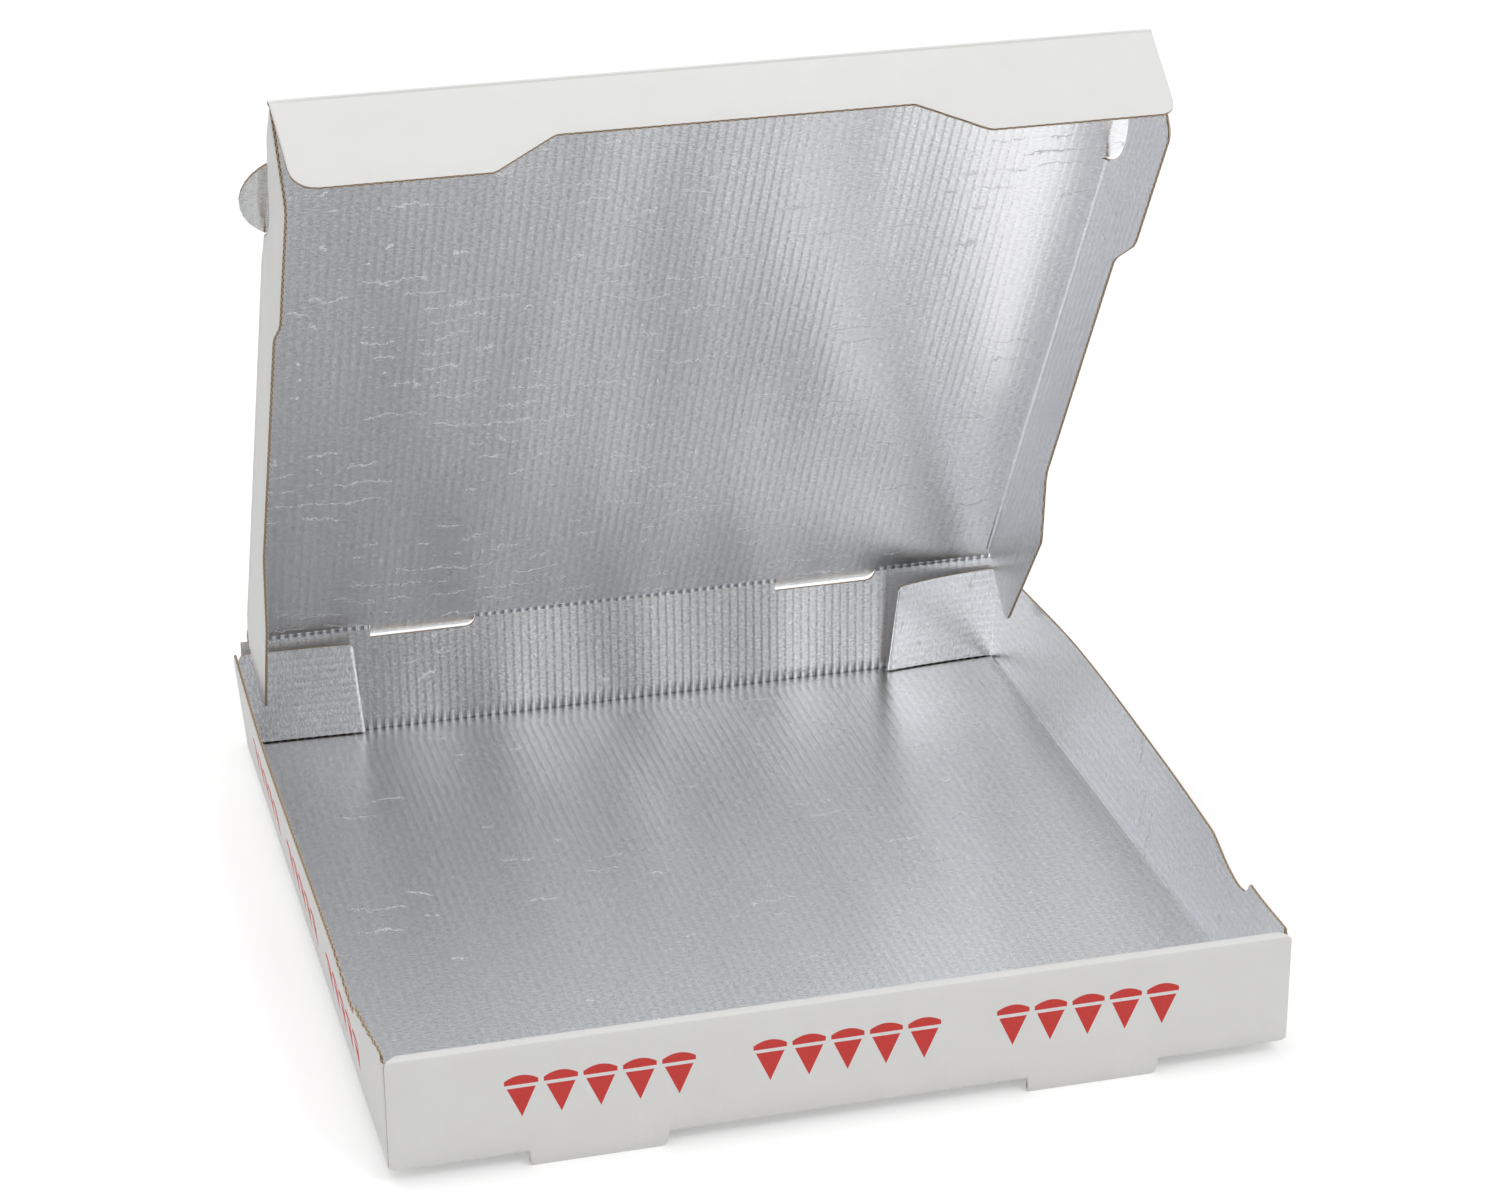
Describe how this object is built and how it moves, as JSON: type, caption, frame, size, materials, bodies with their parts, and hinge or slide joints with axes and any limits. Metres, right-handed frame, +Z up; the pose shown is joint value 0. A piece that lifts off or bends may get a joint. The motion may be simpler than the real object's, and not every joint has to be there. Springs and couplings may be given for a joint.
{
  "type": "pizza box",
  "caption": "Foil-lined corrugated pizza box folded from one sheet, with a double front wall and a part-open hinged lid with tuck and dust flaps.",
  "frame": {"origin": "centre of the underside of the tray's bottom panel", "axes": "+X to the right seen from the front, +Y from the front wall to the hinge, +Z up"},
  "size_m": [0.313, 0.3133, 0.3066],
  "materials": {
    "tray_board": "smooth white liner outside, bright aluminium foil inside, brown fluted edges",
    "lid_board": "smooth white liner outside, bright aluminium foil inside, brown fluted edges",
    "lid_front_flap_board": "smooth white liner outside, bright aluminium foil inside, brown fluted edges",
    "lid_left_flap_board": "smooth white liner outside, bright aluminium foil inside, brown fluted edges",
    "lid_right_flap_board": "smooth white liner outside, bright aluminium foil inside, brown fluted edges"
  },
  "bodies": {
    "tray": {"tray": "tray_board"},
    "lid": {"lid": "lid_board"},
    "front_flap": {"lid_front_flap": "lid_front_flap_board"},
    "left_flap": {"lid_left_flap": "lid_left_flap_board"},
    "right_flap": {"lid_right_flap": "lid_right_flap_board"}
  },
  "joints": [
    {"name": "lid_hinge", "type": "hinge", "parent": "tray", "child": "lid", "pos_m": [0, 0.15475, 0.045], "axis": [-1, 0, 0], "range_deg": [-59.85, 121.1]},
    {"name": "front_flap_fold", "type": "hinge", "parent": "lid", "child": "front_flap", "pos_m": [0, -0.00021, 0.30188], "axis": [-1, 0, 0], "range_deg": [-15, 105]},
    {"name": "left_flap_fold", "type": "hinge", "parent": "lid", "child": "left_flap", "pos_m": [-0.147, 0.15475, 0.045], "axis": [0, -0.5165, 0.8563], "range_deg": [0, 55]},
    {"name": "right_flap_fold", "type": "hinge", "parent": "lid", "child": "right_flap", "pos_m": [0.147, 0.15475, 0.045], "axis": [0, 0.5165, -0.8563], "range_deg": [0, 55]}
  ]
}
